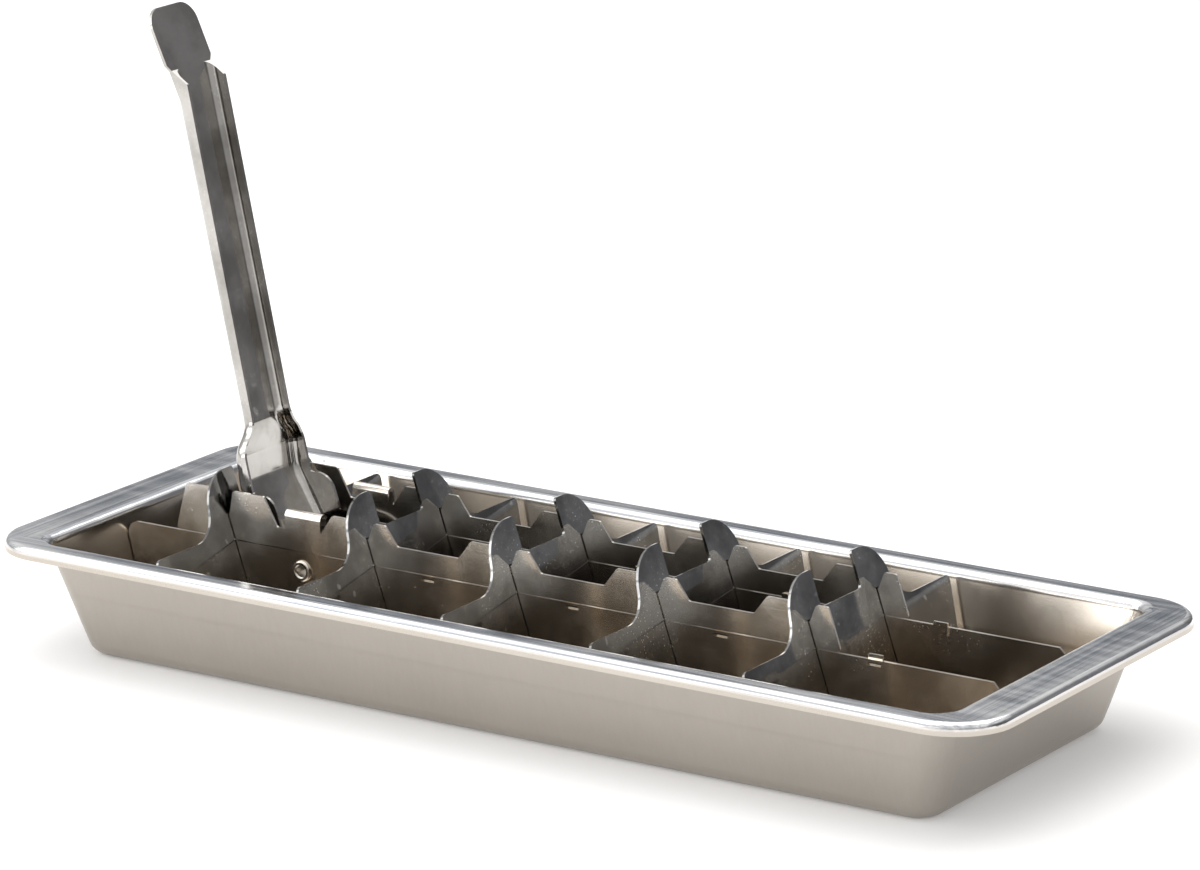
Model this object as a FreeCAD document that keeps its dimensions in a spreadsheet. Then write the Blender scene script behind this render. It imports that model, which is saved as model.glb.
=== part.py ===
import FreeCAD, Part
import Sketcher
import math
import os

from FreeCAD import Placement, Rotation, Vector

os.makedirs("parts", exist_ok=True)
doc = FreeCAD.newDocument("ice_tray")

# Frame: origin under the middle of the tray, +X along the row of cells away from the lever,
# +Y to the back, +Z up. Millimetres and degrees.

# Driving sizes
SIZES = {
    "tray_length": 280,
    "tray_width": 114,
    "tray_height": 29.5,
    "tray_sheet": 0.6,
    "wall_run": 1.035,
    "rim_radius": 15.5,
    "rim_edge_round": 1.8,
    "skirt_depth": 3,
    "under_reach": 1,
    "lip_round": 2.5,
    "end_inset_top": 12.2,
    "end_inset_foot": 20.2,
    "side_inset_top": 6.58,
    "side_inset_foot": 13.6,
    "wall_corner_top": 6.5,
    "wall_corner_foot": 8,
    "foot_round": 4.85,
    "divider_sheet": 0.8,
    "divider_place": 15.7,
    "divider_top": 26.8,
    "divider_end_gap": 0.35,
    "divider_right_gap": 4.55,
    "divider_corner": 5.5,
    "divider_left_round": 3,
    "divider_right_chamfer": 1.4,
    "foot_notch_left": 1.3,
    "foot_notch_right": 1,
    "foot_notch_top": 4.6,
    "tab_length": 3.8,
    "tab_sheet": 0.6,
    "tab_foot": 24.6,
    "tab_top": 27.9,
    "tab_slot_foot": 25.3,
    "tab_slot_top": 26.2,
    "tab_overlap": 0.05,
    "tab_first": -35.4,
    "blade_pitch": 41.5,
    "blade_sheet": 0.7,
    "blade_lean": 19,
    "blade_pivot_x": -1.26,
    "blade_pivot_z": 2,
    "blade_foot": 1.1,
    "blade_shelf": 28.43,
    "blade_crown": 43.73,
    "blade_valley": 34.5,
    "blade_gap_half": 9.2,
    "blade_foot_half": 40.85,
    "blade_foot_round": 4.5,
    "blade_nose_half": 47.5,
    "blade_nose_round": 1.5,
    "hump_root_half": 23.65,
    "hump_root_round": 8,
    "hump_shoulder_half": 20.87,
    "hump_shoulder_round": 10.6,
    "small_round": 0.8,
    "tiny_round": 0.2,
    "window_foot": 2.2,
    "window_top": 33.16,
    "window_clearance": 0.25,
    "strip_sheet": 0.6,
    "strip_foot": 27,
    "strip_valley": 32.6,
    "strip_top": 37.4,
    "notch_floor": 33.2,
    "notch_floor_left": 2.82,
    "notch_floor_right": 1.35,
    "notch_top_left": 4.4,
    "tooth_left": 0.2,
    "tooth_right": 3.5,
    "tooth_foot": 7.1,
    "next_foot": 24.9,
    "next_tooth": 28.5,
    "tall_top": 39.2,
    "tall_left": 0.3,
    "tall_right": 8.9,
    "tall_foot": 12.9,
    "tall_valley": 32,
    "left_end_foot": 17.6,
    "left_end_top": 14.4,
    "left_end_notch": 5.1,
    "curl_left": -77.5,
    "curl_length": 10.5,
    "curl_top": 36.8,
    "curl_round": 1.55,
    "curl_foot": 31,
    "curl_tip": 33.6,
    "lever_pivot_x": -72.4,
    "lever_pivot_z": 22.1,
    "lever_lean": 13.7,
    "lever_sheet": 0.8,
    "lever_half": 8,
    "tab_half": 9.1,
    "tab_step": 1.5,
    "yoke_half": 12.6,
    "neck_back": 15.9,
    "lever_back": 14.5,
    "neck_depth": 4,
    "handle_depth": 4.6,
    "lever_length": 140.5,
    "handle_top": 125,
    "flange_fall": 4,
    "tab_lean": 11,
    "tab_round": 5,
    "neck_rise": 35,
    "flare_rise": 30.5,
    "flare_round": 7,
    "web_foot": 8.5,
    "bend_round": 3,
    "yoke_round": 8,
    "heel_back": 14.2,
    "heel_rise": 9,
    "deep_back": 17.8,
    "deep_rise": 21,
    "waist_back": 17.2,
    "waist_rise": 28,
    "cheek_back": 12.9,
    "cheek_top_rise": 19.6,
    "cheek_corner_back": 7,
    "cheek_corner_rise": 18.9,
    "cheek_corner_round": 5.4,
    "cheek_foot_back": 6.4,
    "cheek_foot_rise": 9.5,
    "boss_radius": 6.5,
    "pin_radius": 1.9,
    "pin_clearance": 0.05,
    "rivet_head_radius": 2.65,
    "rivet_head": 0.7,
    "rivet_round": 0.5,
    "shoulder_radius": 2.9,
    "rivet_inner_radius": 2.7,
    "rivet_inner_head": 0.6,
    "rivet_bore": 1.4,
}

BLADE_STEPS = (-2, -1, 0, 1, 2)
TAB_COUNT = 4
FRONT = -1
BACK = 1
LIP_MARGIN = 1.0
HEIGHT_TOLERANCE = 0.01
SHORTEST_LINE = 0.0001
SHORTEST_BEND = 0.02
BEND_TOLERANCE = 0.5
UP = Vector(0, 0, 1)

sheet = doc.addObject("Spreadsheet::Sheet", "Sizes")
for row, (word, value) in enumerate(SIZES.items(), start=1):
    sheet.set("A%d" % row, word)
    sheet.set("B%d" % row, str(value))
    sheet.setAlias("B%d" % row, word)
doc.recompute()

XZ_PLANE = Rotation(Vector(1, 0, 0), 90)
YZ_PLANE = Rotation(Vector(1, 1, 1), 120)


def size(word):
    return float(sheet.get(word))


def bind(thing, path, formula):
    thing.setExpression(path, formula)


def corner(before, here, after, radius):
    """Tangent points and middle point of the arc that rounds a corner."""
    to_before = (before - here).normalize()
    to_after = (after - here).normalize()
    half = math.acos(max(-1.0, min(1.0, to_before.dot(to_after)))) / 2
    reach = radius / math.tan(half)
    inward = (to_before + to_after).normalize()
    centre = here + inward * (radius / math.sin(half))
    return here + to_before * reach, centre - inward * radius, here + to_after * reach


def loop_edges(points):
    """Lines and corner arcs through (x, y) or (x, y, corner radius) points."""
    places = [Vector(point[0], point[1], 0) for point in points]
    radii = [point[2] if len(point) > 2 else 0 for point in points]
    ends = []
    arcs = []
    for i, here in enumerate(places):
        if radii[i]:
            first, middle, last = corner(places[i - 1], here, places[(i + 1) % len(places)], radii[i])
            arcs.append(Part.Arc(first, middle, last))
            ends.append((first, last))
        else:
            ends.append((here, here))
    lines = []
    for i, (_, start) in enumerate(ends):
        finish = ends[(i + 1) % len(ends)][0]
        if (finish - start).Length > SHORTEST_LINE:
            lines.append(Part.LineSegment(start, finish))
    return lines + arcs


def outline(name, loops, plane, circles=()):
    sketch = doc.addObject("Sketcher::SketchObject", name)
    sketch.Placement = Placement(Vector(), plane)
    for points in loops:
        sketch.addGeometry(loop_edges(points), False)
    for x, y, radius in circles:
        sketch.addGeometry(Part.Circle(Vector(x, y, 0), UP, radius), False)
    return sketch


def plate(name, loops, plane, thickness, circles=()):
    """Flat sheet of the outline, its thickness (a sheet formula) split evenly about the sketch."""
    solid = doc.addObject("Part::Extrusion", name)
    solid.Base = outline(name + "_outline", loops, plane, circles)
    solid.DirMode = "Normal"
    solid.Solid = True
    solid.Symmetric = True
    solid.FaceMakerClass = "Part::FaceMakerBullseye"
    bind(solid, "LengthFwd", thickness)
    return solid


def join(name, pieces):
    solid = doc.addObject("Part::MultiFuse", name)
    solid.Shapes = pieces
    return solid


def cut(name, base, tool):
    solid = doc.addObject("Part::Cut", name)
    solid.Base = base
    solid.Tool = tool
    return solid


def common(name, one, other):
    solid = doc.addObject("Part::Common", name)
    solid.Base = one
    solid.Tool = other
    return solid


def cylinder(name, radius, height, foot="0"):
    """Round bar along its own Z; the sizes are sheet formulas."""
    bar = doc.addObject("Part::Cylinder", name)
    bind(bar, "Radius", radius)
    bind(bar, "Height", height)
    bind(bar, "Placement.Base.z", foot)
    return bar


def block(name, length, width, height, corner_at):
    """Box with sheet formulas for its sizes and its low corner."""
    solid = doc.addObject("Part::Box", name)
    bind(solid, "Length", length)
    bind(solid, "Width", width)
    bind(solid, "Height", height)
    for axis, formula in zip("xyz", corner_at):
        bind(solid, "Placement.Base." + axis, formula)
    return solid


def round_edges(name, base, radius, wanted):
    """Round every edge of the base that the test accepts."""
    doc.recompute()
    solid = doc.addObject("Part::Fillet", name)
    solid.Base = base
    chosen = []
    for number, edge in enumerate(base.Shape.Edges, start=1):
        if wanted(edge):
            chosen.append((number, radius, radius))
    solid.Edges = chosen
    return solid


def middle(edge):
    return edge.valueAt((edge.FirstParameter + edge.LastParameter) / 2)


def at_height(height):
    return lambda edge: all(abs(end.Point.z - height) < HEIGHT_TOLERANCE for end in edge.Vertexes)


def rounded_rectangle(name, half_x, half_y, radius, height):
    """Horizontal rounded rectangle about the origin, solved to four sheet formulas."""
    rough_x, rough_y, rough_r = 120.0, 50.0, 7.0
    sketch = doc.addObject("Sketcher::SketchObject", name)
    far_x, far_y = rough_x - rough_r, rough_y - rough_r
    sides = [
        (Vector(-far_x, -rough_y, 0), Vector(far_x, -rough_y, 0)),
        (Vector(rough_x, -far_y, 0), Vector(rough_x, far_y, 0)),
        (Vector(far_x, rough_y, 0), Vector(-far_x, rough_y, 0)),
        (Vector(-rough_x, far_y, 0), Vector(-rough_x, -far_y, 0)),
    ]
    centres = [(far_x, -far_y), (far_x, far_y), (-far_x, far_y), (-far_x, -far_y)]
    for start, finish in sides:
        sketch.addGeometry(Part.LineSegment(start, finish), False)
    for step, (x, y) in enumerate(centres):
        circle = Part.Circle(Vector(x, y, 0), UP, rough_r)
        first = -math.pi / 2 + step * math.pi / 2
        sketch.addGeometry(Part.ArcOfCircle(circle, first, first + math.pi / 2), False)
    for step in range(4):
        sketch.addConstraint(Sketcher.Constraint("Tangent", step, 2, 4 + step, 1))
        sketch.addConstraint(Sketcher.Constraint("Tangent", 4 + step, 2, (step + 1) % 4, 1))
    for step in (0, 2):
        sketch.addConstraint(Sketcher.Constraint("Horizontal", step))
        sketch.addConstraint(Sketcher.Constraint("Vertical", step + 1))
    for step in range(5, 8):
        sketch.addConstraint(Sketcher.Constraint("Equal", 4, step))
    sketch.addConstraint(Sketcher.Constraint("Symmetric", 0, 1, 2, 1, -1, 1))
    named = (
        ("half_x", Sketcher.Constraint("DistanceX", -1, 1, 1, 1, rough_x), half_x),
        ("half_y", Sketcher.Constraint("DistanceY", -1, 1, 2, 1, rough_y), half_y),
        ("radius", Sketcher.Constraint("Radius", 4, rough_r), radius),
    )
    for word, constraint, formula in named:
        number = sketch.addConstraint(constraint)
        sketch.renameConstraint(number, word)
        bind(sketch, "Constraints." + word, formula)
    bind(sketch, "Placement.Base.z", height)
    return sketch


def loft(name, lower, upper):
    solid = doc.addObject("Part::Loft", name)
    solid.Sections = [lower, upper]
    solid.Solid = True
    solid.Ruled = True
    return solid


def prism(name, sketch, height):
    solid = doc.addObject("Part::Extrusion", name)
    solid.Base = sketch
    solid.DirMode = "Normal"
    solid.Solid = True
    bind(solid, "LengthFwd", height)
    return solid


def wall_slope(end_or_side):
    """Outward run of a tray wall for each millimetre of height."""
    run = size(end_or_side + "_inset_foot") - size(end_or_side + "_inset_top")
    return run / size("tray_height")


def inner_end(height):
    """Distance of the end wall's inner face from the middle of the tray."""
    slope = wall_slope("end")
    sheet_run = size("tray_sheet") * math.hypot(1, slope)
    return size("tray_length") / 2 - size("end_inset_foot") + slope * height - sheet_run


def make_tray():
    half = {"end": "Sizes.tray_length / 2 - Sizes.end_inset_",
            "side": "Sizes.tray_width / 2 - Sizes.side_inset_"}
    outer_foot = rounded_rectangle("outer_foot", half["end"] + "foot", half["side"] + "foot",
                                   "Sizes.wall_corner_foot", "0")
    outer_top = rounded_rectangle("outer_top", half["end"] + "top", half["side"] + "top",
                                  "Sizes.wall_corner_top", "Sizes.tray_height")
    rise = "Sizes.tray_sheet / Sizes.tray_height"
    wall = "Sizes.wall_run * Sizes.tray_sheet"
    inner = {}
    for word, inset in (("end", "end_inset"), ("side", "side_inset")):
        run = "(Sizes.%s_foot - Sizes.%s_top)" % (inset, inset)
        inner[word] = half[word] + "foot + " + run + " * " + rise + " - " + wall
    inner_foot = rounded_rectangle("inner_foot", inner["end"], inner["side"],
                                   "Sizes.wall_corner_foot - Sizes.tray_sheet", "Sizes.tray_sheet")
    inner_top = rounded_rectangle("inner_top", half["end"] + "top - " + wall, half["side"] + "top - " + wall,
                                  "Sizes.wall_corner_top - Sizes.tray_sheet", "Sizes.tray_height")
    tub = round_edges("tub", loft("tub_loft", outer_foot, outer_top), size("foot_round"), at_height(0))
    hollow = round_edges("hollow", loft("hollow_loft", inner_foot, inner_top),
                         size("foot_round") - size("tray_sheet"), at_height(size("tray_sheet")))

    rim_plan = rounded_rectangle("rim_plan", "Sizes.tray_length / 2", "Sizes.tray_width / 2",
                                 "Sizes.rim_radius", "Sizes.tray_height - Sizes.skirt_depth")
    rim = round_edges("rim", prism("rim_slab", rim_plan, "Sizes.skirt_depth"),
                      size("rim_edge_round"), at_height(size("tray_height")))
    full = join("rim_and_tub", [rim, tub])
    open_top = cut("open_top", full, hollow)
    lip_x = size("tray_length") / 2 - size("end_inset_top") + LIP_MARGIN
    lip_y = size("tray_width") / 2 - size("side_inset_top") + LIP_MARGIN
    on_top = at_height(size("tray_height"))
    lip = round_edges("lip", open_top, size("lip_round"),
                      lambda edge: on_top(edge) and abs(middle(edge).x) < lip_x and abs(middle(edge).y) < lip_y)

    under_plan = rounded_rectangle("under_plan", "Sizes.tray_length / 2 - Sizes.tray_sheet",
                                   "Sizes.tray_width / 2 - Sizes.tray_sheet",
                                   "Sizes.rim_radius - Sizes.tray_sheet",
                                   "Sizes.tray_height - Sizes.skirt_depth - Sizes.under_reach")
    under_slab = prism("under_slab", under_plan, "Sizes.skirt_depth - Sizes.tray_sheet + Sizes.under_reach")
    under_ring = cut("under_ring", under_slab, loft("tub_core", outer_foot, outer_top))
    under = round_edges("under", under_ring, size("rim_edge_round") - size("tray_sheet"),
                        at_height(size("tray_height") - size("tray_sheet")))
    return {"tray": cut("tray", lip, under)}


def tab_places():
    return [size("tab_first") + step * size("blade_pitch") for step in range(TAB_COUNT)]


def pivot_x(step):
    return size("blade_pivot_x") + step * size("blade_pitch")


def make_divider(name, side):
    """Lengthwise plate of the grid, with a foot notch for each blade and the strips' guide tabs."""
    floor = size("tray_sheet")
    top = size("divider_top")
    corner_round = size("divider_corner")
    left_gap = size("divider_end_gap")
    right_gap = size("divider_right_gap")
    loop = [(-inner_end(top) + left_gap, top, size("divider_left_round")),
            (-inner_end(floor) + left_gap, floor, corner_round)]
    for step in BLADE_STEPS:
        left = pivot_x(step) - size("foot_notch_left")
        right = pivot_x(step) + size("foot_notch_right")
        roof = size("foot_notch_top")
        tiny = size("tiny_round")
        loop += [(left, floor), (left, roof, tiny), (right, roof, tiny), (right, floor)]
    right_end = inner_end(top) - right_gap
    chamfer = size("divider_right_chamfer")
    loop += [(inner_end(floor) - right_gap, floor, corner_round),
             (right_end, top - chamfer), (right_end - chamfer, top)]
    half_tab = size("tab_length") / 2
    low, high = size("tab_slot_foot"), size("tab_slot_top")
    slots = [[(x - half_tab, low), (x + half_tab, low), (x + half_tab, high), (x - half_tab, high)]
             for x in tab_places()]
    holes = [(size("lever_pivot_x"), size("lever_pivot_z"), size("pin_radius"))]
    flat = plate(name + "_plate", [loop] + slots, XZ_PLANE, "Sizes.divider_sheet", holes)
    bind(flat, "Placement.Base.y", "%d * Sizes.divider_place" % side)
    pieces = [flat]
    inner_face = "(Sizes.divider_place - Sizes.divider_sheet / 2 + Sizes.tab_overlap)"
    low_y = inner_face + " - Sizes.tab_sheet" if side == BACK else "-" + inner_face
    for step in range(TAB_COUNT):
        x = "Sizes.tab_first - Sizes.tab_length / 2 + %d * Sizes.blade_pitch" % step
        pieces.append(block("%s_tab_%d" % (name, step + 1), "Sizes.tab_length", "Sizes.tab_sheet",
                            "Sizes.tab_top - Sizes.tab_foot", (x, low_y, "Sizes.tab_foot")))
    return join(name, pieces)


def make_rivet(name, side):
    """Shouldered hollow rivet: head outside the divider, shoulder and pin inside it."""
    shoulder = "(Sizes.divider_place - Sizes.divider_sheet / 2 - Sizes.yoke_half - Sizes.pin_clearance)"
    pin = "(Sizes.lever_sheet + 2 * Sizes.pin_clearance)"
    head = "Sizes.rivet_head"
    to_shoulder = head + " + Sizes.divider_sheet"
    to_pin = to_shoulder + " + " + shoulder
    to_head = to_pin + " + " + pin
    solid = join(name + "_solid", [
        cylinder(name + "_head", "Sizes.rivet_head_radius", head),
        cylinder(name + "_shank", "Sizes.pin_radius", "Sizes.divider_sheet", head),
        cylinder(name + "_shoulder", "Sizes.shoulder_radius", shoulder, to_shoulder),
        cylinder(name + "_pin", "Sizes.pin_radius", pin, to_pin),
        cylinder(name + "_inner_head", "Sizes.rivet_inner_radius", "Sizes.rivet_inner_head", to_head),
    ])
    hollow = cut(name + "_hollow", solid, cylinder(name + "_bore", "Sizes.rivet_bore", shoulder))
    rivet = round_edges(name, hollow, size("rivet_round"), at_height(0))
    turn = Rotation(Vector(1, 0, 0), 90 * side)
    outside = size("divider_place") + size("divider_sheet") / 2 + size("rivet_head")
    rivet.Placement = Placement(Vector(size("lever_pivot_x"), side * outside, size("lever_pivot_z")), turn)
    bind(rivet, "Placement.Base.x", "Sizes.lever_pivot_x")
    bind(rivet, "Placement.Base.z", "Sizes.lever_pivot_z")
    return rivet


def make_blade(name, step):
    """Cross blade drawn upright about its pivot line, then leaned towards the lever."""
    foot = -size("blade_foot")
    shelf = size("blade_shelf")
    crown = size("blade_crown")
    valley = size("blade_valley")
    gap = size("blade_gap_half")
    half = [(size("blade_foot_half"), foot, size("blade_foot_round")),
            (size("blade_nose_half"), shelf, size("blade_nose_round")),
            (size("hump_root_half"), shelf, size("hump_root_round")),
            (size("hump_shoulder_half"), crown, size("hump_shoulder_round")),
            (gap, crown, size("small_round")), (gap, valley, size("small_round"))]
    loop = half + [(-y, r, radius) for y, r, radius in reversed(half)]
    slot_inner = size("divider_place") - size("divider_sheet") / 2 - size("window_clearance")
    slot_outer = size("divider_place") + size("divider_sheet") / 2 + size("window_clearance")
    low, high = size("window_foot"), size("window_top")
    windows = []
    for side in (FRONT, BACK):
        near, far = sorted((side * slot_inner, side * slot_outer))
        windows.append([(near, low), (far, low), (far, high), (near, high)])
    blade = plate(name, [loop] + windows, YZ_PLANE, "Sizes.blade_sheet")
    blade.Placement = Placement(Vector(pivot_x(step), 0, size("blade_pivot_z")),
                                Rotation(Vector(0, 1, 0), -size("blade_lean")))
    bind(blade, "Placement.Base.x", "Sizes.blade_pivot_x + %d * Sizes.blade_pitch" % step)
    bind(blade, "Placement.Base.z", "Sizes.blade_pivot_z")
    return blade


def seam_x(step):
    """X of a blade where it crosses the top edge of the dividers."""
    height = size("divider_top") - size("blade_pivot_z")
    return pivot_x(step) - height * math.tan(math.radians(size("blade_lean")))


def strip_loop():
    """Side outline of a sliding strip: a V notch for each blade, teeth beside it, valleys between."""
    foot, valley, top, tall = size("strip_foot"), size("strip_valley"), size("strip_top"), size("tall_top")
    floor, low_valley = size("notch_floor"), size("tall_valley")
    soft, tiny = size("small_round"), size("tiny_round")
    first, last = BLADE_STEPS[0], BLADE_STEPS[-1]
    x = seam_x(first)
    curl_right = size("curl_left") + size("curl_length")
    next_tooth_rise = size("next_tooth") - size("next_foot")
    points = [(x - size("left_end_foot"), foot, soft), (x - size("left_end_top"), tall, soft),
              (x - size("left_end_notch"), tall, soft)]
    for step in BLADE_STEPS:
        x = seam_x(step)
        if step != first:
            points.append((x - size("notch_top_left"), top, soft))
        points += [(x - size("notch_floor_left"), floor, tiny), (x - size("notch_floor_right"), floor, tiny)]
        if step == first:
            points += [(x - size("tall_left"), tall, soft), (x + size("tall_right"), tall, soft),
                       (x + size("tall_foot"), low_valley, soft), (curl_right, low_valley, soft),
                       (curl_right + next_tooth_rise, top, soft)]
            continue
        points += [(x + size("tooth_left"), top, soft), (x + size("tooth_right"), top, soft)]
        if step == last:
            points.append((x + size("tooth_foot"), foot, soft))
        else:
            points += [(x + size("tooth_foot"), valley, soft), (x + size("next_foot"), valley, soft),
                       (x + size("next_tooth"), top, soft)]
    return points


def make_strip(name, side):
    """Sliding strip above a divider, with the roll the lever works against."""
    flat = plate(name + "_plate", [strip_loop()], XZ_PLANE, "Sizes.strip_sheet")
    bind(flat, "Placement.Base.y", "%d * Sizes.divider_place" % side)
    thick = size("strip_sheet")
    outer = size("divider_place") + thick / 2
    outer_round = size("curl_round")
    inner_round = outer_round - thick
    inner = outer - 2 * outer_round
    top, low, tip = size("curl_top"), size("curl_foot"), size("curl_tip")
    section = [(outer, low), (outer, top, outer_round), (inner, top, outer_round), (inner, tip),
               (inner + thick, tip), (inner + thick, top - thick, inner_round),
               (outer - thick, top - thick, inner_round), (outer - thick, low)]
    mirrored = [(side * point[0],) + point[1:] for point in section]
    roll = plate(name + "_roll", [mirrored], YZ_PLANE, "Sizes.curl_length")
    bind(roll, "Placement.Base.x", "Sizes.curl_left + Sizes.curl_length / 2")
    return join(name, [flat, roll])


def turned_cylinder(name, radius, length):
    """Round bar along Y, split evenly about the middle."""
    bar = doc.addObject("Part::Cylinder", name)
    bind(bar, "Radius", radius)
    bind(bar, "Height", length)
    bar.Placement = Placement(Vector(), Rotation(Vector(1, 0, 0), -90))
    bind(bar, "Placement.Base.y", "-(" + length + ") / 2")
    return bar


def boss_tangent(point, turn):
    """Where a line from a point of the cheek meets the boss round the pivot."""
    reach = math.hypot(point[0], point[1])
    angle = math.atan2(point[1], point[0]) + turn * math.acos(size("boss_radius") / reach)
    return size("boss_radius") * math.cos(angle), size("boss_radius") * math.sin(angle)


def both_sides(half):
    """Closed outline from the points of its right half."""
    return half + [(-point[0],) + point[1:] for point in reversed(half)]


def lever_back_line(inset):
    """Back of the lever from the yoke's deepest place to the top of the handle, moved inwards."""
    bend = size("yoke_round")
    return [(inset - size("deep_back"), size("deep_rise"), bend),
            (inset - size("waist_back"), size("waist_rise"), bend),
            (inset - size("neck_back"), size("neck_rise"), bend),
            (inset - size("lever_back"), size("handle_top"))]


def lever_side_loop():
    """Side outline of the lever about its pivot: x towards its open side, y up the handle."""
    back, thick, soft = -size("lever_back"), size("lever_sheet"), size("small_round")
    free = back + size("handle_depth")
    tilt = math.tan(math.radians(size("tab_lean"))) * (size("lever_length") - size("handle_top"))
    heel = (-size("heel_back"), size("heel_rise"))
    cheek_foot = (-size("cheek_foot_back"), size("cheek_foot_rise"))
    loop = [heel] + lever_back_line(0)
    loop += [(back - tilt, size("lever_length")), (back - tilt + thick, size("lever_length")),
             (back + thick, size("handle_top")), (free, size("handle_top") - size("flange_fall"), soft),
             (size("neck_depth") - size("neck_back"), size("neck_rise"), size("yoke_round")),
             (-size("cheek_back"), size("flare_rise"), size("yoke_round")),
             (-size("cheek_back"), size("cheek_top_rise"), soft),
             (-size("cheek_corner_back"), size("cheek_corner_rise"), size("cheek_corner_round")),
             cheek_foot, boss_tangent(cheek_foot, -1), (0, 0), boss_tangent(heel, 1)]
    return loop


def lever_plan_half(inset):
    """Right half of the lever seen from its open side, its sides moved inwards."""
    wide, narrow = size("yoke_half") - inset, size("lever_half") - inset
    below = -2 * size("boss_radius")
    return [(wide, below), (wide, size("flare_rise"), size("flare_round")),
            (narrow, size("neck_rise"), size("flare_round")),
            (narrow, size("handle_top")), (size("tab_half") - inset, size("handle_top") + size("tab_step"))]


def on_back_bend(inset):
    """Test for the long edges where the lever's web meets its flanges."""
    heel = (inset - size("heel_back"), size("heel_rise"))
    line = [heel] + [point[:2] for point in lever_back_line(inset)]

    def test(edge):
        at = middle(edge)
        rise = abs(edge.Vertexes[0].Point.z - edge.Vertexes[-1].Point.z)
        if rise < SHORTEST_BEND or abs(at.y) < size("lever_half") - 2 * size("lever_sheet"):
            return False
        for (low_x, low_z), (high_x, high_z) in zip(line, line[1:]):
            if low_z - BEND_TOLERANCE <= at.z <= high_z:
                line_x = low_x + (high_x - low_x) * (at.z - low_z) / (high_z - low_z)
                return abs(at.x - line_x) < BEND_TOLERANCE
        return False

    return test


def make_lever(name):
    """Pressed channel lever, drawn upright about its pivot and then leaned back."""
    thick = size("lever_sheet")
    blank = join(name + "_side", [
        plate(name + "_side_plate", [lever_side_loop()], XZ_PLANE, "2 * Sizes.yoke_half"),
        turned_cylinder(name + "_boss", "Sizes.boss_radius", "2 * Sizes.yoke_half"),
    ])
    reach = "4 * Sizes.lever_back"
    plan = both_sides(lever_plan_half(0) + [(size("tab_half"), size("lever_length"), size("tab_round"))])
    sharp = common(name + "_outer", blank, plate(name + "_plan", [plan], YZ_PLANE, reach))
    outer = round_edges(name + "_pressed", sharp, size("bend_round"), on_back_bend(0))

    far = 2 * size("lever_back")
    slope = (size("deep_back") - size("heel_back")) / (size("deep_rise") - size("heel_rise"))
    web_foot = size("web_foot")
    foot_x = thick - size("heel_back") - slope * (web_foot - size("heel_rise"))
    inside = [(-far, -far), (-far, web_foot), (foot_x, web_foot)] + lever_back_line(thick)
    inside += [(far, size("handle_top")), (far, -far)]
    inside_plan = both_sides(lever_plan_half(thick) + [(size("tab_half") - thick, size("lever_length"))])
    hollow_sharp = common(name + "_inner", plate(name + "_inside", [inside], XZ_PLANE, "2 * Sizes.yoke_half"),
                          plate(name + "_inside_plan", [inside_plan], YZ_PLANE, reach))
    hollow = round_edges(name + "_hollow", hollow_sharp, size("bend_round") - thick, on_back_bend(thick))
    channel = cut(name + "_channel", outer, hollow)
    hole = turned_cylinder(name + "_hole", "Sizes.pin_radius + Sizes.pin_clearance", reach)
    lever = cut(name, channel, hole)
    lever.Placement = Placement(Vector(size("lever_pivot_x"), 0, size("lever_pivot_z")),
                                Rotation(Vector(0, 1, 0), -size("lever_lean")))
    bind(lever, "Placement.Base.x", "Sizes.lever_pivot_x")
    bind(lever, "Placement.Base.z", "Sizes.lever_pivot_z")
    return lever


nodes = make_tray()
for word, side in (("front", FRONT), ("back", BACK)):
    nodes["divider_" + word] = make_divider("divider_" + word, side)
    nodes["rivet_" + word] = make_rivet("rivet_" + word, side)
    nodes["strip_" + word] = make_strip("strip_" + word, side)
for number, step in enumerate(BLADE_STEPS, start=1):
    nodes["blade_%d" % number] = make_blade("blade_%d" % number, step)
nodes["lever"] = make_lever("lever")
doc.recompute()

for thing in doc.Objects:
    if "Invalid" in thing.State or "Error" in thing.State:
        raise RuntimeError(thing.Name + " did not build")

for node, thing in nodes.items():
    thing.Label = node
    shape = thing.Shape
    if shape.isNull() or not shape.isValid() or len(shape.Solids) != 1:
        raise RuntimeError(node + " is not one sound solid")
    shape.exportStep("parts/" + node + ".step")
    box = shape.BoundBox
    print("%-14s %9.1f mm3  x %7.2f %7.2f  y %7.2f %7.2f  z %7.2f %7.2f" % (
        node, shape.Volume, box.XMin, box.XMax, box.YMin, box.YMax, box.ZMin, box.ZMax))
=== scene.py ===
import bpy
import math
from mathutils import Matrix, Vector


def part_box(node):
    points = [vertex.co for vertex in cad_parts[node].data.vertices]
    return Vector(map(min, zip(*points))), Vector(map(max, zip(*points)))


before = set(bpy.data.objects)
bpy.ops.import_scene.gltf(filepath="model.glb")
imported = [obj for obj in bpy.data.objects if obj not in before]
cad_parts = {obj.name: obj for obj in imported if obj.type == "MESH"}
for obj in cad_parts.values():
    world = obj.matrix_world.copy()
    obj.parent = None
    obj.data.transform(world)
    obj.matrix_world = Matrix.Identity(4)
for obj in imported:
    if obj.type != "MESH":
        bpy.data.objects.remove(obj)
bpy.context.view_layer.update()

MM = 0.001

BLADES = ["blade_%d" % number for number in range(1, 6)]
DIVIDERS = ["divider_front", "divider_back"]
STRIPS = ["strip_front", "strip_back"]
RIVETS = ["rivet_front", "rivet_back"]


# Where the finishes change on the tray and the dividers

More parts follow.
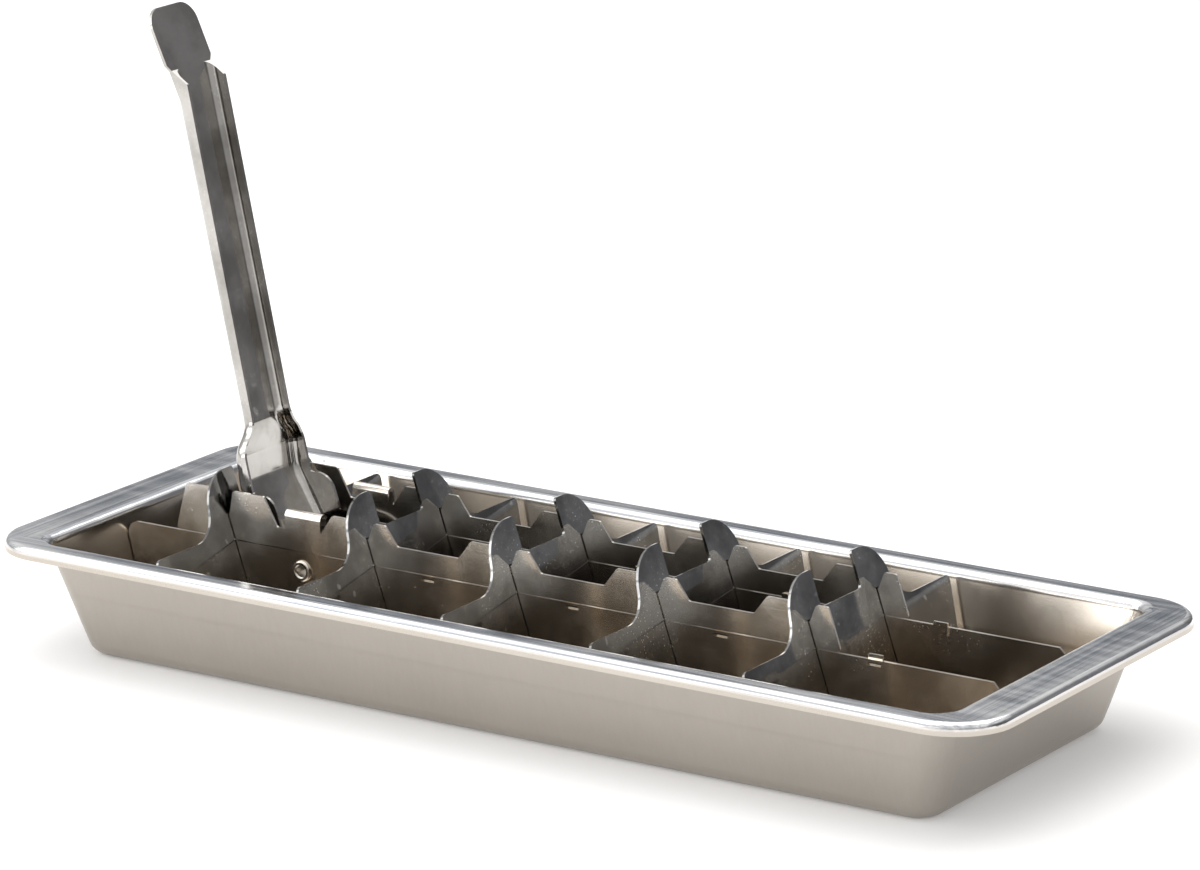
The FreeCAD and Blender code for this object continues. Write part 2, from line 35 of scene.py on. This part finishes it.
TRAY_LOW, TRAY_HIGH = (Vector(corner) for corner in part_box("tray"))
RIM_UNDERSIDE = TRAY_HIGH.z - 0.8 * MM
RIM_BLUR = 1.5 * MM
RIM_MITRE = TRAY_HIGH.x - TRAY_HIGH.y
MITRE_BLUR = 4.0 * MM
DRAW_STEP = TRAY_LOW.z + 15.5 * MM
DRAW_STEP_RISE = 1.6 * MM
# Height and distance of the band of painted shade at the slots beside the guide tabs
TAB_FACE = 15.35 * MM
TAB_SLOT_FOOT = 25.3 * MM
TAB_SLOT_TOP = 26.2 * MM


# Camera and lamps

CAMERA_PLACE = Vector((0.7746, -1.1980, 0.4560))
CAMERA_TURN = math.radians(32.76)
CAMERA_DROP = math.radians(15.38)
CAMERA_LENS = 186.17
SENSOR_WIDTH = 36.0


def add_camera():
    bpy.ops.object.camera_add()
    camera = bpy.context.object
    camera.name = "product_camera"
    camera.data.sensor_fit = "HORIZONTAL"
    camera.data.sensor_width = SENSOR_WIDTH
    camera.data.lens = CAMERA_LENS
    camera.data.clip_start = 0.01
    camera.data.clip_end = 50.0
    tilt = Matrix.Rotation(math.pi / 2 - CAMERA_DROP, 4, "X")
    camera.matrix_world = Matrix.Translation(CAMERA_PLACE) @ Matrix.Rotation(CAMERA_TURN, 4, "Z") @ tilt
    bpy.context.scene.camera = camera


def add_soft_box(name, place, aim, width, height, power):
    bpy.ops.object.light_add(type="AREA", location=place)
    lamp = bpy.context.object
    lamp.name = name
    lamp.data.shape = "RECTANGLE"
    lamp.data.size = width
    lamp.data.size_y = height
    lamp.data.energy = power
    lamp.rotation_euler = (Vector(aim) - Vector(place)).to_track_quat("-Z", "Y").to_euler()


# Shader wiring

class Wire:
    """A number socket that adds, subtracts and multiplies as plain Python."""

    def __init__(self, finish, socket):
        self.finish = finish
        self.socket = socket

    def join(self, operation, first, second=None):
        values = {0: first}
        if second is not None:
            values[1] = second
        return self.finish.node("ShaderNodeMath", {"operation": operation}, values)

    def __add__(self, other):
        return self.join("ADD", self, other)

    def __radd__(self, other):
        return self.join("ADD", other, self)

    def __sub__(self, other):
        return self.join("SUBTRACT", self, other)

    def __rsub__(self, other):
        return self.join("SUBTRACT", other, self)

    def __mul__(self, other):
        return self.join("MULTIPLY", self, other)

    def __rmul__(self, other):
        return self.join("MULTIPLY", other, self)

    def __abs__(self):
        return self.join("ABSOLUTE", self)


class Finish:
    """One node tree, of a material or of the world."""

    def __init__(self, tree):
        self.tree = tree
        self.tree.nodes.clear()

    def node(self, kind, settings=None, values=None, output=0):
        made = self.tree.nodes.new(kind)
        for name, value in (settings or {}).items():
            setattr(made, name, value)
        for name, value in (values or {}).items():
            if isinstance(value, Wire):
                self.tree.links.new(value.socket, made.inputs[name])
            else:
                made.inputs[name].default_value = value
        return Wire(self, made.outputs[output]) if made.outputs else made

    def place(self):
        return self.node("ShaderNodeTexCoord", output="Object")

    def part_of(self, vector, axis):
        return self.node("ShaderNodeSeparateXYZ", values={0: vector}, output=axis)

    def axis(self, name):
        return self.part_of(self.place(), name)

    def facing_up(self):
        return self.part_of(self.node("ShaderNodeTexCoord", output="Normal"), "Z")

    def noise(self, scale, detail=2.0, roughness=0.5, vector=None):
        return self.node("ShaderNodeTexNoise", values={
            "Vector": vector or self.place(), "Scale": scale, "Detail": detail, "Roughness": roughness})

    def streaks(self, fineness, detail=2.0, roughness=0.5):
        """Noise with its own fineness on each axis, so drawn out along the coarse one."""
        mapped = self.node("ShaderNodeMapping", values={"Vector": self.place(), "Scale": fineness})
        return self.noise(1.0, detail, roughness, mapped)

    def between(self, value, low, high, to_low=0.0, to_high=1.0):
        return self.node("ShaderNodeMapRange", {"interpolation_type": "SMOOTHSTEP"}, {
            "Value": value, "From Min": low, "From Max": high, "To Min": to_low, "To Max": to_high})

    def window(self, value, low, high, soft):
        """One between low and high, falling to nothing over the soft width outside them."""
        return self.between(value, low - soft, low) - self.between(value, high, high + soft)

    def blend(self, factor, first, second):
        return self.node("ShaderNodeMix", {"data_type": "RGBA"}, {0: factor, 6: first, 7: second}, output=2)

    def bump(self, height, distance, strength, before=None):
        values = {"Height": height, "Distance": distance, "Strength": strength}
        if before is not None:
            values["Normal"] = before
        return self.node("ShaderNodeBump", values=values)

    def metal(self, colour, roughness, normal):
        surface = self.node("ShaderNodeBsdfPrincipled", values={
            "Metallic": 1.0, "Base Color": colour, "Roughness": roughness, "Normal": normal})
        self.node("ShaderNodeOutputMaterial", values={"Surface": surface})


def new_finish(name):
    material = bpy.data.materials.new(name)
    material.use_nodes = True
    return material, Finish(material.node_tree)


def rgb(red, green, blue):
    return (red, green, blue, 1.0)


# The outer walls are painted darker and the inner walls lighter, as painted shade and light on one steel
OUTER_WALL_STEEL = rgb(0.47, 0.435, 0.395)
OUTER_WALL_STEEL_DARK = rgb(0.37, 0.34, 0.30)
INNER_WALL_STEEL = rgb(0.76, 0.70, 0.63)
INNER_WALL_STEEL_DARK = rgb(0.60, 0.54, 0.46)
# The rim's buffing lines are coloured light and blue-grey dark, a painted reflection laid along the real
# lines
RIM_STEEL = rgb(0.80, 0.80, 0.80)
RIM_BUFF_LINE_PAINTED_REFLECTION = rgb(0.50, 0.52, 0.56)
DIVIDER_STEEL = rgb(0.86, 0.80, 0.72)
DIVIDER_STEEL_DARK = rgb(0.66, 0.59, 0.50)
STRIP_STEEL = rgb(0.92, 0.88, 0.82)
STRIP_STEEL_DARK = rgb(0.72, 0.67, 0.60)
LEVER_STEEL = rgb(0.54, 0.52, 0.495)
LEVER_STEEL_DARK = rgb(0.34, 0.325, 0.305)
RIVET_STEEL = rgb(0.80, 0.77, 0.72)
RIVET_STEEL_DARK = rgb(0.62, 0.59, 0.54)
BLADE_STEEL = rgb(0.42, 0.42, 0.415)
BLADE_STEEL_DARK = rgb(0.20, 0.20, 0.20)
PALE_SPECK = rgb(0.80, 0.79, 0.77)
# Painted shade, laid on the grid low down in the cells and at the guide tabs' slots
SHADE_PAINT = rgb(0.11, 0.098, 0.082)
FLOOR_PAINT = rgb(0.86, 0.855, 0.85)
BACK_CARD_GREY = rgb(0.19, 0.19, 0.20)
RIM_CARD_BLUE_GREY = rgb(0.14, 0.16, 0.19)
BLACK = rgb(0, 0, 0)
WHITE = rgb(1, 1, 1)


# Steel of the tray

def polish_lines(finish):
    """Buffing lines that run along each side of the rim and meet at a mitre in the corners."""
    past_mitre = abs(finish.axis("X")) - abs(finish.axis("Y"))
    at_end = finish.between(past_mitre, RIM_MITRE - MITRE_BLUR, RIM_MITRE + MITRE_BLUR)
    side_lines = finish.streaks((14.0, 700.0, 700.0), detail=4.0, roughness=0.65)
    end_lines = finish.streaks((700.0, 14.0, 700.0), detail=4.0, roughness=0.65)
    return side_lines * (1.0 - at_end) + end_lines * at_end


def tray_colour(finish, rim, inside, clouds, draw_marks, lines):
    # Painted shade on the outer walls and painted light on the inner walls
    outer = finish.blend(0.6 * clouds + 0.4 * draw_marks, OUTER_WALL_STEEL_DARK, OUTER_WALL_STEEL)
    inner = finish.blend(clouds, INNER_WALL_STEEL_DARK, INNER_WALL_STEEL)
    # Buffing lines coloured with a painted blue-grey reflection
    rim_colour = finish.blend(finish.between(lines, 0.38, 0.62), RIM_BUFF_LINE_PAINTED_REFLECTION, RIM_STEEL)
    return finish.blend(rim, finish.blend(inside, outer, inner), rim_colour)


def tray_normal(finish, rim, inside, draw_marks, lines):
    """Fine marks of drawing and buffing, with the rim's slow waves and the step in the walls on top."""
    grain = finish.noise(2600.0)
    wall_marks = (draw_marks + 0.4 * grain) * (1.0 - inside) + 0.3 * lines * inside
    fine = finish.bump(wall_marks * (1.0 - rim) + lines * rim, 0.02 * MM, 0.5)
    waves = finish.streaks((22.0, 70.0, 70.0))
    draw_step = finish.between(finish.axis("Z"), DRAW_STEP, DRAW_STEP + DRAW_STEP_RISE)
    return finish.bump(waves * rim + 0.2 * draw_step, 0.4 * MM, 0.6, fine)


def drawn_tray_steel():
    """Satin drawn walls with upright draw marks, the outer ones in painted shade and the inner ones in
    painted light, and a buffed rim that blurs into them.
    """
    material, finish = new_finish("drawn_tray_steel")
    rim = finish.between(finish.axis("Z"), RIM_UNDERSIDE - RIM_BLUR, RIM_UNDERSIDE)
    inside = finish.between(finish.facing_up(), -0.05, 0.05)
    clouds = finish.noise(22.0, detail=4.0, roughness=0.6)
    draw_marks = finish.streaks((900.0, 900.0, 25.0), detail=3.0, roughness=0.6)
    lines = polish_lines(finish)
    wall_rough = 0.27 - 0.13 * inside + 0.10 * clouds + 0.05 * draw_marks
    rim_rough = 0.07 + 0.12 * lines
    finish.metal(tray_colour(finish, rim, inside, clouds, draw_marks, lines),
                 wall_rough * (1.0 - rim) + rim_rough * rim,
                 tray_normal(finish, rim, inside, draw_marks, lines))
    return material


# Steel of the grid and the lever
# The rolling lines are coarse along their own way and fine across it

ALONG_X = (20.0, 800.0, 800.0)
ALONG_Y = (800.0, 20.0, 800.0)
ALONG_LEVER = (700.0, 700.0, 12.0)
NO_DIRECTION = (600.0, 600.0, 600.0)


def pale_marks(finish, clouds, specks):
    """Dust specks where the clouds are light, and short scratches."""
    dots = finish.node("ShaderNodeTexVoronoi", values={"Vector": finish.place(), "Scale": 1100.0})
    dust = finish.between(dots, 0.14, 0.24, specks, 0.0) * finish.between(clouds, 0.3, 0.9)
    scratches = finish.streaks((900.0, 350.0, 90.0), detail=1.0, roughness=0.4)
    return dust + specks * finish.between(scratches, 0.72, 0.78, 0.0, 0.5)


def painted_shade_mask(finish, strength, full, end):
    """Painted shade: full strength below one height, none above the other, and a dark band at the height of
    the slots beside the guide tabs, as far out as the tab faces.
    """
    height = finish.axis("Z")
    low = finish.between(height, full, end, strength, 0.0)
    tab_face = finish.window(abs(finish.axis("Y")), TAB_FACE - 0.02 * MM, TAB_FACE + 0.1 * MM, 0.02 * MM)
    return low + 0.8 * tab_face * finish.window(height, TAB_SLOT_FOOT, TAB_SLOT_TOP, 0.1 * MM)


def sheet_steel(name, light, dark, base_rough, rolled, specks, low_shade=None):
    """Rolled sheet: wiping clouds, rolling lines, slight waves, pale marks, and painted shade low down."""
    material, finish = new_finish(name)
    clouds = finish.between(finish.noise(55.0, detail=5.0, roughness=0.6), 0.35, 0.65)
    lines = finish.streaks(rolled, detail=4.0, roughness=0.6)
    pale = pale_marks(finish, clouds, specks)
    colour = finish.blend(clouds, dark, light)
    # Painted shade: darker towards the bottom, and in the band at the guide tabs' slots
    if low_shade:
        colour = finish.blend(painted_shade_mask(finish, *low_shade), colour, SHADE_PAINT)
    fine = finish.bump(lines, 0.012 * MM, 0.5)
    waves = finish.noise(38.0, detail=1.0, roughness=0.4)
    finish.metal(finish.blend(pale, colour, PALE_SPECK),
                 base_rough + 0.05 * clouds + 0.04 * lines + 0.25 * pale,
                 finish.bump(waves, 0.14 * MM, 0.6, fine))
    return material


# Studio

FLOOR_SIZE = 12.0
FLOOR_GLOW = 0.18
WORLD_TINT = rgb(1.0, 0.995, 0.99)


def floor_finish():
    """Pale paint that glows a little, only for rays that see it directly or in metal or glass."""
    material, finish = new_finish("pale_floor")
    rays = ("Is Camera Ray", "Is Glossy Ray", "Is Transmission Ray")
    camera_ray, glossy_ray, clear_ray = (finish.node("ShaderNodeLightPath", output=ray) for ray in rays)
    surface = finish.node("ShaderNodeBsdfPrincipled", values={
        "Base Color": FLOOR_PAINT,
        "Roughness": 0.8 + 0.1 * finish.noise(3.0),
        "Specular IOR Level": 0.1,
        "Emission Color": finish.blend(camera_ray + glossy_ray + clear_ray, BLACK, WHITE),
        "Emission Strength": FLOOR_GLOW})
    finish.node("ShaderNodeOutputMaterial", values={"Surface": surface})
    return material


def dress_world():
    """Soft studio surround: bright overhead and at the front left, dark low at the back right."""
    world = bpy.data.worlds.new("studio")
    bpy.context.scene.world = world
    world.use_nodes = True
    finish = Finish(world.node_tree)
    way = finish.node("ShaderNodeTexCoord", output="Generated")
    right, back, up = (finish.part_of(way, axis) for axis in "XYZ")
    to_back_right = 0.6 * right + 0.8 * back
    to_front_left = -0.52 * right - 0.85 * back
    low = finish.between(up, 0.42, 0.68, 1.0, 0.0)
    base = finish.between(up, 0.05, 0.7, 0.55, 0.95)
    dark = finish.between(to_back_right, 0.45, 0.85, 0.0, 0.75) * low
    bright = finish.between(to_front_left, 0.5, 0.9, 0.0, 0.5) * low
    surround = finish.node("ShaderNodeBackground", values={
        "Color": WORLD_TINT, "Strength": base * (1.0 - dark) + bright})
    finish.node("ShaderNodeOutputWorld", values={"Surface": surround})


def add_plane(name, size, place, material):
    bpy.ops.object.select_all(action="DESELECT")
    bpy.ops.mesh.primitive_plane_add(size=size, location=place)
    plane = bpy.context.object
    plane.name = name
    plane.data.materials.append(material)
    return plane


def add_card(name, place, width, height, shade):
    """Card turned to the tray, which only the polished metal sees."""
    material, finish = new_finish(name + "_paint")
    paint = finish.node("ShaderNodeBsdfPrincipled", values={"Base Color": shade, "Roughness": 0.9})
    finish.node("ShaderNodeOutputMaterial", values={"Surface": paint})
    card = add_plane(name, 1, place, material)
    card.scale = (width, height, 1)
    card.rotation_euler = (-Vector(place)).to_track_quat("Z", "Y").to_euler()
    card.visible_camera = False
    card.visible_diffuse = False
    card.visible_shadow = False


def dress(names, material):
    for name in names:
        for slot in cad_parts[name].material_slots:
            slot.material = material


bpy.context.scene.view_settings.view_transform = "Standard"
add_camera()
dress_world()
add_plane("floor", FLOOR_SIZE, (0, 0, 0), floor_finish())
add_soft_box("overhead_box", (-0.25, 0.20, 1.35), (0, 0, 0), width=2.2, height=1.6, power=14)
add_soft_box("left_box", (-1.3, -0.7, 0.8), (-0.05, 0, 0.05), width=0.7, height=1.0, power=4)
add_soft_box("front_left_box", (-0.85, -1.45, 0.32), (0, 0, 0.02), width=0.9, height=0.5, power=3)
add_card("back_card", (0.90, 1.25, 0.40), width=0.8, height=0.8, shade=BACK_CARD_GREY)
add_card("rim_card", (-1.29, 2.14, 0.775), width=0.85, height=0.17, shade=RIM_CARD_BLUE_GREY)

dress(["tray"], drawn_tray_steel())
# The dividers and blades are painted darker low down, as shade in the cells
dress(DIVIDERS, sheet_steel(
    "divider_sheet_steel", DIVIDER_STEEL, DIVIDER_STEEL_DARK,
    base_rough=0.16, rolled=ALONG_X, specks=0.2, low_shade=(0.4, 3.0 * MM, 20.0 * MM)))
dress(BLADES, sheet_steel(
    "blade_sheet_steel", BLADE_STEEL, BLADE_STEEL_DARK,
    base_rough=0.06, rolled=ALONG_Y, specks=0.6, low_shade=(0.85, 18.0 * MM, 36.0 * MM)))
dress(STRIPS, sheet_steel(
    "strip_sheet_steel", STRIP_STEEL, STRIP_STEEL_DARK, base_rough=0.16, rolled=ALONG_X, specks=0.2))
dress(["lever"], sheet_steel(
    "lever_sheet_steel", LEVER_STEEL, LEVER_STEEL_DARK, base_rough=0.07, rolled=ALONG_LEVER, specks=0.35))
dress(RIVETS, sheet_steel(
    "rivet_steel", RIVET_STEEL, RIVET_STEEL_DARK, base_rough=0.18, rolled=NO_DIRECTION, specks=0.3))
